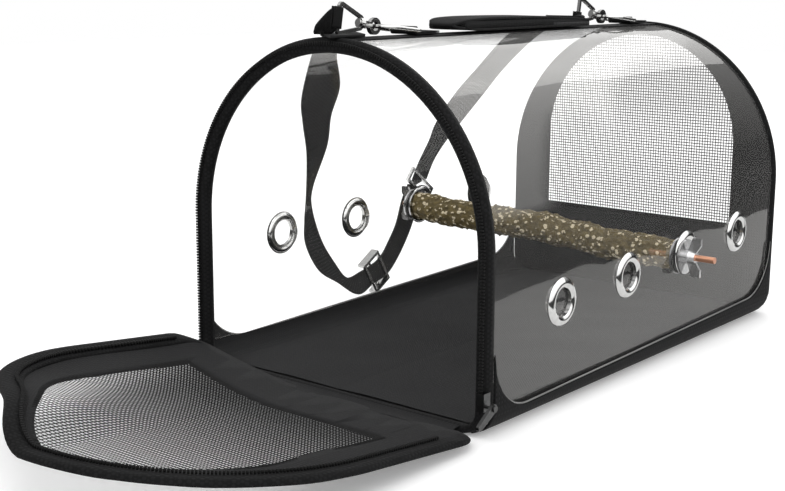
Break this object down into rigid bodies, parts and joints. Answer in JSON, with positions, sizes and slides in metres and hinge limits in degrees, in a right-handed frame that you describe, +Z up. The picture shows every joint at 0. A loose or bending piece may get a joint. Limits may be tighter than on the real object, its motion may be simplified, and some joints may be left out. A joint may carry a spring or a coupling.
{
  "type": "bird travel carrier",
  "caption": "Tunnel-shaped clear pet carrier with a fold-down zipped front door, mesh back, eyelet vents, wooden perch and clip-on shoulder strap.",
  "frame": {"origin": "centre of the cabin floor at its underside", "axes": "X across the carrier, -Y out of the front door, +Z up"},
  "size_m": [0.3114, 0.685, 0.2723],
  "materials": {
    "black_fabric": "coated plain-weave nylon",
    "black_mesh": "fine knitted mesh",
    "binding_tape": "ribbed binding tape",
    "webbing": "woven webbing",
    "clear_film": "clear flexible film",
    "nickel_plate": "bright plated metal",
    "zinc_steel": "zinc-plated steel",
    "copper_thread": "yellow-zinc threaded rod",
    "bark": "natural knotty branch",
    "board_plastic": "stiff floor board",
    "zip_coil": "nylon coil"
  },
  "bodies": {
    "cabin": {"back_hoop": "binding_tape", "back_mesh": "black_mesh", "back_panel": "black_fabric", "base_board": "board_plastic", "eyelet_washers_left": "nickel_plate", "eyelet_washers_right": "nickel_plate", "eyelets_left": "nickel_plate", "eyelets_right": "nickel_plate", "floor_fabric": "black_fabric", "floor_liner": "black_fabric", "frame_zip_coil": "zip_coil", "front_hoop": "binding_tape", "hinge_strip": "black_fabric", "inner_washers": "zinc_steel", "perch_bolts": "copper_thread", "perch_branch": "bark", "pvc_film": "clear_film", "ridge_strip": "webbing", "side_binding_left": "binding_tape", "side_binding_right": "binding_tape", "strap_long": "webbing", "strap_ring": "nickel_plate", "strap_short": "webbing", "tri_glide": "nickel_plate", "webbing_tab_back": "webbing", "webbing_tab_front": "webbing"},
    "door": {"door_sheet": "black_fabric", "door_rim": "binding_tape", "door_mesh": "black_mesh", "door_zip_coil": "zip_coil"},
    "zip_slider": {"zip_slider": "nickel_plate"},
    "zip_pull": {"zip_pull": "nickel_plate"},
    "outer_washer_right": {"outer_washer_right": "zinc_steel"},
    "outer_washer_left": {"outer_washer_left": "zinc_steel"},
    "wing_nut_right": {"wing_nut_right": "zinc_steel"},
    "wing_nut_left": {"wing_nut_left": "zinc_steel"},
    "d_ring_front": {"d_ring_front": "nickel_plate"},
    "snap_hook_front": {"snap_hook_front": "nickel_plate"},
    "hook_gate_front": {"hook_gate_front": "nickel_plate"},
    "clip_eye_front": {"clip_eye_front": "nickel_plate", "strap_end_front": "webbing"},
    "d_ring_back": {"d_ring_back": "nickel_plate"},
    "snap_hook_back": {"snap_hook_back": "nickel_plate"},
    "hook_gate_back": {"hook_gate_back": "nickel_plate"},
    "clip_eye_back": {"clip_eye_back": "nickel_plate", "strap_end_back": "webbing"}
  },
  "joints": [
    {"name": "door_hinge", "type": "hinge", "parent": "cabin", "child": "door", "pos_m": [0, -0.22215, 0.005], "axis": [-1, 0, 0], "range_deg": [-6.6, 83.9]},
    {"name": "zip_slide", "type": "slide", "parent": "cabin", "child": "zip_slider", "axis": [0, 0, 1], "range_m": [0, 0.083]},
    {"name": "zip_pull_hinge", "type": "hinge", "parent": "zip_slider", "child": "zip_pull", "pos_m": [0.1389, -0.2157, 0.0233], "axis": [1, 0, 0], "range_deg": [-120, 100]},
    {"name": "washer_slide_right", "type": "slide", "parent": "cabin", "child": "outer_washer_right", "axis": [1, 0, 0], "range_m": [0, 0.008]},
    {"name": "wing_nut_turn_right", "type": "hinge", "parent": "outer_washer_right", "child": "wing_nut_right", "pos_m": [0.139, 0.047, 0.0778], "axis": [1, 0, 0], "range_deg": [0, 3600]},
    {"name": "washer_slide_left", "type": "slide", "parent": "cabin", "child": "outer_washer_left", "axis": [-1, 0, 0], "range_m": [0, 0.0008]},
    {"name": "wing_nut_turn_left", "type": "hinge", "parent": "outer_washer_left", "child": "wing_nut_left", "pos_m": [-0.139, 0.047, 0.0885], "axis": [-1, 0, 0], "range_deg": [0, 360]},
    {"name": "d_ring_front_hinge", "type": "hinge", "parent": "cabin", "child": "d_ring_front", "pos_m": [0, -0.134, 0.25175], "axis": [-1, 0, 0], "range_deg": [0, 60]},
    {"name": "snap_hook_front_hinge", "type": "hinge", "parent": "d_ring_front", "child": "snap_hook_front", "pos_m": [0, -0.16781, 0.2553], "axis": [-1, 0, 0], "range_deg": [0, 40]},
    {"name": "hook_gate_front_hinge", "type": "hinge", "parent": "snap_hook_front", "child": "hook_gate_front", "pos_m": [0, -0.17136, 0.25807], "axis": [-1, 0, 0], "range_deg": [0, 20], "stiffness_Nm_per_rad": 0.02, "springref_deg": -11.46},
    {"name": "clip_swivel_front", "type": "hinge", "parent": "snap_hook_front", "child": "clip_eye_front", "pos_m": [0, -0.1816, 0.25773], "axis": [0, -0.9848, 0.1736], "range_deg": [-90, 90]},
    {"name": "d_ring_back_hinge", "type": "hinge", "parent": "cabin", "child": "d_ring_back", "pos_m": [0, 0.168, 0.25175], "axis": [-1, 0, 0], "range_deg": [0, 60]},
    {"name": "snap_hook_back_hinge", "type": "hinge", "parent": "d_ring_back", "child": "snap_hook_back", "pos_m": [0, 0.13419, 0.2553], "axis": [-1, 0, 0], "range_deg": [0, 40]},
    {"name": "hook_gate_back_hinge", "type": "hinge", "parent": "snap_hook_back", "child": "hook_gate_back", "pos_m": [0, 0.13064, 0.25807], "axis": [-1, 0, 0], "range_deg": [0, 20], "stiffness_Nm_per_rad": 0.02, "springref_deg": -11.46},
    {"name": "clip_swivel_back", "type": "hinge", "parent": "snap_hook_back", "child": "clip_eye_back", "pos_m": [0, 0.1204, 0.25773], "axis": [0, -0.9848, 0.1736], "range_deg": [-90, 90]}
  ],
  "couplings": [
    {"joint": "washer_slide_right", "follows": "wing_nut_turn_right", "m_per_rad": 0.000127},
    {"joint": "washer_slide_left", "follows": "wing_nut_turn_left", "m_per_rad": 0.000127}
  ]
}
